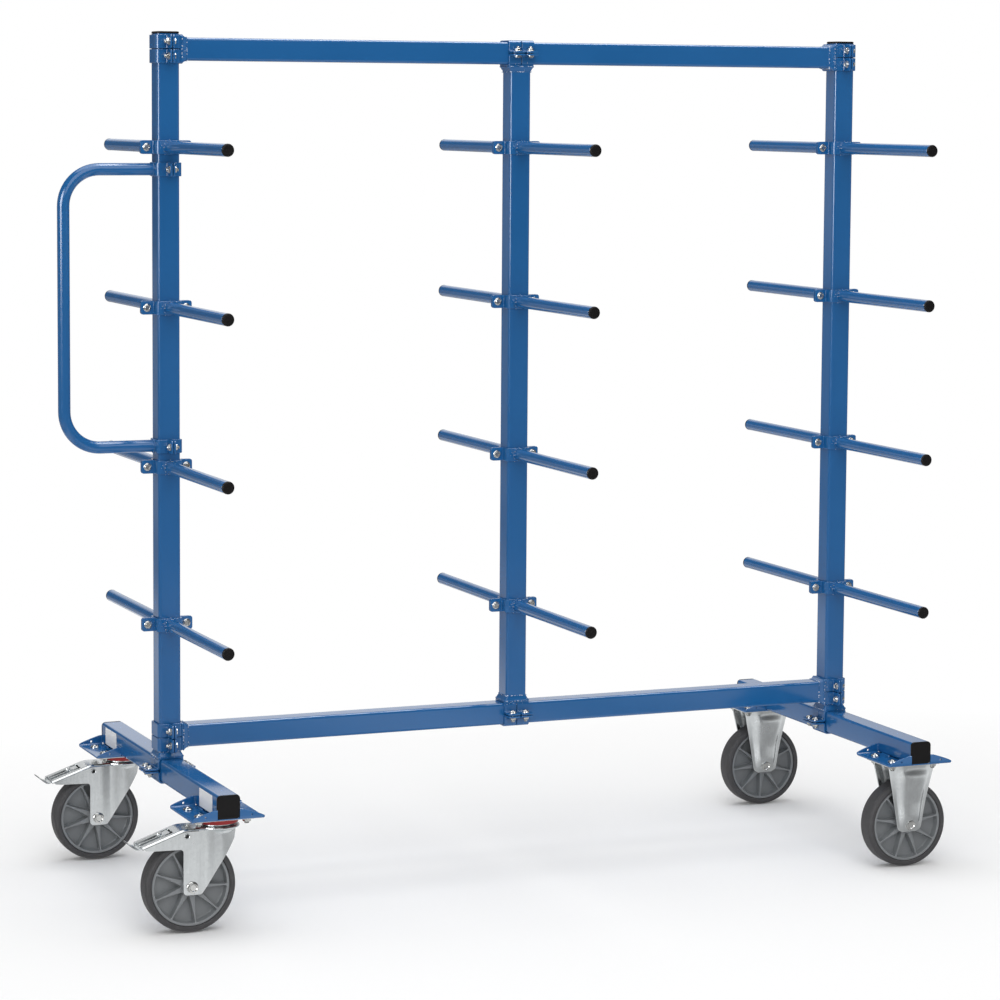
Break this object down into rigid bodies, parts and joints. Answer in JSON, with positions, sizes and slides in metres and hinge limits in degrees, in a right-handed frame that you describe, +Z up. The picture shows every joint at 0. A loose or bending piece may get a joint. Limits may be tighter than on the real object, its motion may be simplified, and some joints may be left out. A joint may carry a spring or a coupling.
{
  "type": "long material cart",
  "caption": "Two-sided cantilever cart for bars, tubes and boards: bolted square-tube frame, height-set round arms, bent push handle, braked swivel and fixed spoked casters.",
  "frame": {"origin": "on the floor under the middle of the whole cart, from the handle to the fixed wheels", "axes": "+X along the cart from the handle to the fixed casters, +Y across it to the back, +Z up"},
  "size_m": [2.0027, 0.892, 1.9013],
  "materials": {
    "blue_powder_coat": "satin powder coat",
    "zinc_plate": "bright zinc plate",
    "black_cap": "moulded",
    "grey_rim": "moulded",
    "dark_tyre": "smooth solid rubber",
    "red_seal": "moulded"
  },
  "bodies": {
    "frame": {"base_beam_left": "blue_powder_coat", "base_beam_right": "blue_powder_coat", "bottom_beam": "blue_powder_coat", "cap_left_back": "black_cap", "cap_left_front": "black_cap", "cap_post_left": "black_cap", "cap_post_right": "black_cap", "cap_right_back": "black_cap", "cap_right_front": "black_cap", "post_left": "blue_powder_coat", "post_middle": "blue_powder_coat", "post_right": "blue_powder_coat", "push_handle": "blue_powder_coat", "top_beam": "blue_powder_coat", "swivel_front_plate": "zinc_plate", "swivel_front_seal": "red_seal", "swivel_back_plate": "zinc_plate", "swivel_back_seal": "red_seal", "fixed_front_bracket": "zinc_plate", "fixed_front_axle": "zinc_plate", "fixed_back_bracket": "zinc_plate", "fixed_back_axle": "zinc_plate"},
    "swivel_front_yoke": {"swivel_front_fork": "zinc_plate", "swivel_front_axle": "zinc_plate"},
    "swivel_front_wheel": {"swivel_front_rim": "grey_rim", "swivel_front_tyre": "dark_tyre"},
    "swivel_front_brake": {"swivel_front_pedal": "zinc_plate"},
    "fixed_front_wheel": {"fixed_front_rim": "grey_rim", "fixed_front_tyre": "dark_tyre"},
    "swivel_back_yoke": {"swivel_back_fork": "zinc_plate", "swivel_back_axle": "zinc_plate"},
    "swivel_back_wheel": {"swivel_back_rim": "grey_rim", "swivel_back_tyre": "dark_tyre"},
    "swivel_back_brake": {"swivel_back_pedal": "zinc_plate"},
    "fixed_back_wheel": {"fixed_back_rim": "grey_rim", "fixed_back_tyre": "dark_tyre"},
    "arms_left_1": {"arm_left_1_front": "blue_powder_coat", "arm_left_1_back": "blue_powder_coat"},
    "arms_left_2": {"arm_left_2_front": "blue_powder_coat", "arm_left_2_back": "blue_powder_coat"},
    "arms_left_3": {"arm_left_3_front": "blue_powder_coat", "arm_left_3_back": "blue_powder_coat"},
    "arms_left_4": {"arm_left_4_front": "blue_powder_coat", "arm_left_4_back": "blue_powder_coat"},
    "arms_middle_1": {"arm_middle_1_front": "blue_powder_coat", "arm_middle_1_back": "blue_powder_coat"},
    "arms_middle_2": {"arm_middle_2_front": "blue_powder_coat", "arm_middle_2_back": "blue_powder_coat"},
    "arms_middle_3": {"arm_middle_3_front": "blue_powder_coat", "arm_middle_3_back": "blue_powder_coat"},
    "arms_middle_4": {"arm_middle_4_front": "blue_powder_coat", "arm_middle_4_back": "blue_powder_coat"},
    "arms_right_1": {"arm_right_1_front": "blue_powder_coat", "arm_right_1_back": "blue_powder_coat"},
    "arms_right_2": {"arm_right_2_front": "blue_powder_coat", "arm_right_2_back": "blue_powder_coat"},
    "arms_right_3": {"arm_right_3_front": "blue_powder_coat", "arm_right_3_back": "blue_powder_coat"},
    "arms_right_4": {"arm_right_4_front": "blue_powder_coat", "arm_right_4_back": "blue_powder_coat"}
  },
  "joints": [
    {"name": "swivel_front_turn", "type": "hinge", "parent": "frame", "child": "swivel_front_yoke", "pos_m": [-0.75825, -0.365, 0.1], "axis": [0, 0, 1], "continuous": true},
    {"name": "swivel_front_roll", "type": "hinge", "parent": "swivel_front_yoke", "child": "swivel_front_wheel", "pos_m": [-0.82325, -0.365, 0.1], "axis": [0, 1, 0], "continuous": true},
    {"name": "swivel_front_brake_press", "type": "hinge", "parent": "swivel_front_yoke", "child": "swivel_front_brake", "pos_m": [-0.83475, -0.365, 0.2104], "axis": [0, -1, 0], "range_deg": [0, 8]},
    {"name": "fixed_front_roll", "type": "hinge", "parent": "frame", "child": "fixed_front_wheel", "pos_m": [0.90175, -0.365, 0.1], "axis": [0, 1, 0], "continuous": true},
    {"name": "swivel_back_turn", "type": "hinge", "parent": "frame", "child": "swivel_back_yoke", "pos_m": [-0.75825, 0.365, 0.1], "axis": [0, 0, 1], "continuous": true},
    {"name": "swivel_back_roll", "type": "hinge", "parent": "swivel_back_yoke", "child": "swivel_back_wheel", "pos_m": [-0.82325, 0.365, 0.1], "axis": [0, 1, 0], "continuous": true},
    {"name": "swivel_back_brake_press", "type": "hinge", "parent": "swivel_back_yoke", "child": "swivel_back_brake", "pos_m": [-0.83475, 0.365, 0.2104], "axis": [0, -1, 0], "range_deg": [0, 8]},
    {"name": "fixed_back_roll", "type": "hinge", "parent": "frame", "child": "fixed_back_wheel", "pos_m": [0.90175, 0.365, 0.1], "axis": [0, 1, 0], "continuous": true},
    {"name": "arms_left_1_height", "type": "slide", "parent": "frame", "child": "arms_left_1", "axis": [0, 0, 1], "range_m": [-0.15, 0.15]},
    {"name": "arms_left_2_height", "type": "slide", "parent": "frame", "child": "arms_left_2", "axis": [0, 0, 1], "range_m": [-0.15, 0.01]},
    {"name": "arms_left_3_height", "type": "slide", "parent": "frame", "child": "arms_left_3", "axis": [0, 0, 1], "range_m": [-0.15, 0.15]},
    {"name": "arms_left_4_height", "type": "slide", "parent": "frame", "child": "arms_left_4", "axis": [0, 0, 1], "range_m": [-0.012, 0.15]},
    {"name": "arms_middle_1_height", "type": "slide", "parent": "frame", "child": "arms_middle_1", "axis": [0, 0, 1], "range_m": [-0.15, 0.15]},
    {"name": "arms_middle_2_height", "type": "slide", "parent": "frame", "child": "arms_middle_2", "axis": [0, 0, 1], "range_m": [-0.15, 0.15]},
    {"name": "arms_middle_3_height", "type": "slide", "parent": "frame", "child": "arms_middle_3", "axis": [0, 0, 1], "range_m": [-0.15, 0.15]},
    {"name": "arms_middle_4_height", "type": "slide", "parent": "frame", "child": "arms_middle_4", "axis": [0, 0, 1], "range_m": [-0.15, 0.15]},
    {"name": "arms_right_1_height", "type": "slide", "parent": "frame", "child": "arms_right_1", "axis": [0, 0, 1], "range_m": [-0.15, 0.15]},
    {"name": "arms_right_2_height", "type": "slide", "parent": "frame", "child": "arms_right_2", "axis": [0, 0, 1], "range_m": [-0.15, 0.15]},
    {"name": "arms_right_3_height", "type": "slide", "parent": "frame", "child": "arms_right_3", "axis": [0, 0, 1], "range_m": [-0.15, 0.15]},
    {"name": "arms_right_4_height", "type": "slide", "parent": "frame", "child": "arms_right_4", "axis": [0, 0, 1], "range_m": [-0.15, 0.15]}
  ]
}
